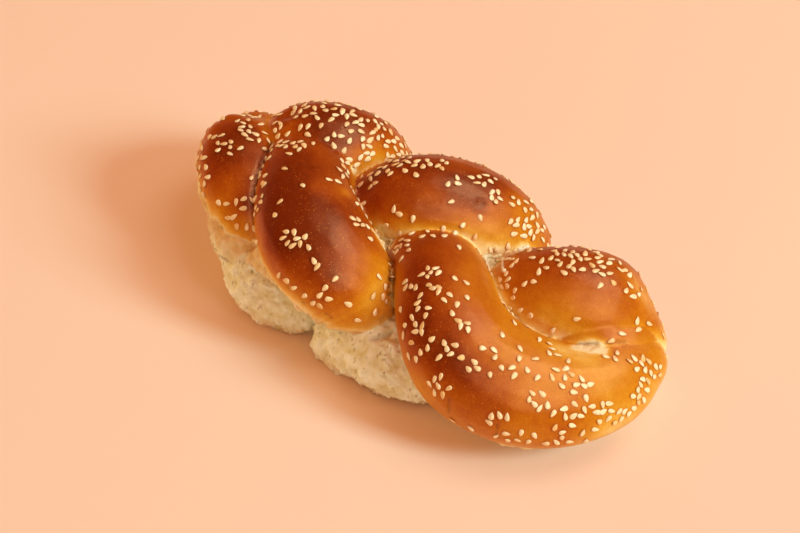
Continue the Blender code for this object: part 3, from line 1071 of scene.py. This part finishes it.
sesame, v = new_material("sesame")
place = v.node("ShaderNodeNewGeometry")
tone, rim = map(measured, ("tone", "rim"))
seed_colour = tone.between(0.0, 1.0).mixed(HULL, WARM_HULL)
seed_colour = tone.between(0.86, 1.0).mixed(seed_colour, TOASTED)
# the darker rim: toasting, and painted shade round the seed's edge
seed_colour = (0.85 * rim.between(0.62, 1.0)).mixed(seed_colour, RIM_TOAST_AND_SHADE)
dullness = (0.42 + 0.2 * grain(0.8, 2)).clamped()
v.finish(Base_Color=seed_colour, Roughness=dullness, Coat_Roughness=0.3, Coat_Weight=0.1)
seeds.data.materials.append(sesame)
print("nodes in the sesame:", len(sesame.node_tree.nodes))

# %% [markdown]
# ## Handing the pieces over
#
# The new loaf stands for the solid, which is then hidden, and all pieces ride with the one body.

# %% ride and replace
for piece, slot_name in ((loaf, "crust"), (strands, "crust"), (seeds, "sesame")):
    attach(piece, BODY)
    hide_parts(NODE)
print("pieces:", loaf.name, strands.name, seeds.name, "on", BODY)

# %% [markdown]
# ## The floor
#
# The loaf lies on a plain peach board that runs out of view. One dull square is enough, because only
# its colour and the shadow on it show.

# %% floor
FLOOR_SIZE = 6.0
FLOOR_COLOUR = (0.93, 0.68, 0.50, 1)

bpy.ops.mesh.primitive_plane_add(size=FLOOR_SIZE)
floor = bpy.context.object
floor.name = "floor"
paper, v = new_material("floor_paper")
v.finish(Base_Color=FLOOR_COLOUR, Roughness=0.9, Specular_IOR_Level=0.1)
floor.data.materials.append(paper)
print("floor in metres:", list(floor.dimensions))

# %% [markdown]
# ## Light
#
# The light is soft and comes mostly from the right, as from a window. Weaker lamps above, in front and
# to the left open the shadows, and a warm glow from all round does the rest. A glaze mirrors whatever
# stands round it, and so much light would lay a milky veil on the crust. So the glaze sees none of it,
# and two panels that light nothing else make the pale sheens on the crests.

# %% light
LAMPS = {  # azimuth and elevation in degrees, distance, width and height in metres, watts, tint
    "side": (11, 31, 4.0, 0.85, 1.35, 134, (0.62, 0.92, 1.0)),
    "top": (35, 66, 1.5, 0.8, 0.8, 4.6, (1.0, 0.95, 0.85)),
    "front": (282, 12, 4.0, 1.6, 1.2, 19, (0.35, 1.0, 0.9)),
    "right_sheen": (336, 59, 1.5, 1.0, 1.0, 22, (1.0, 0.92, 0.62)),
    "back_sheen": (78, 61, 1.5, 0.8, 0.6, 15, (1.0, 0.92, 0.65)),
    "left": (185, 12, 4.0, 2.0, 1.2, 38, (1.0, 0.86, 0.28)),
}
GLOW_COLOUR, GLOW_STRENGTH = (1.0, 0.41, 0.204, 1), 0.607

for name, (azimuth, elevation, distance, width, height, watts, tint) in LAMPS.items():
    light = bpy.data.lights.new(name, "AREA")
    light.shape, light.size, light.size_y = "RECTANGLE", width, height
    light.energy, light.color = watts, tint
    holder = add_object(name + "_lamp", light)
    azimuth, elevation = radians(azimuth), radians(elevation)
    way = Vector((cos(elevation) * cos(azimuth), cos(elevation) * sin(azimuth), sin(elevation)))
    facing_loaf = way.to_track_quat("Z", "Y").to_matrix().to_4x4()
    holder.matrix_world = Matrix.Translation(way * distance) @ facing_loaf
    holder.visible_glossy = name.endswith("sheen")
    holder.visible_diffuse = not holder.visible_glossy
world = bpy.data.worlds.new("room")
bpy.context.scene.world = world
world.use_nodes = True
glow = world.node_tree.nodes["Background"]
glow.inputs["Color"].default_value = GLOW_COLOUR
glow.inputs["Strength"].default_value = GLOW_STRENGTH
world.cycles_visibility.glossy = False
bpy.context.scene.view_settings.view_transform = "Standard"
print("lamps:", list(LAMPS))
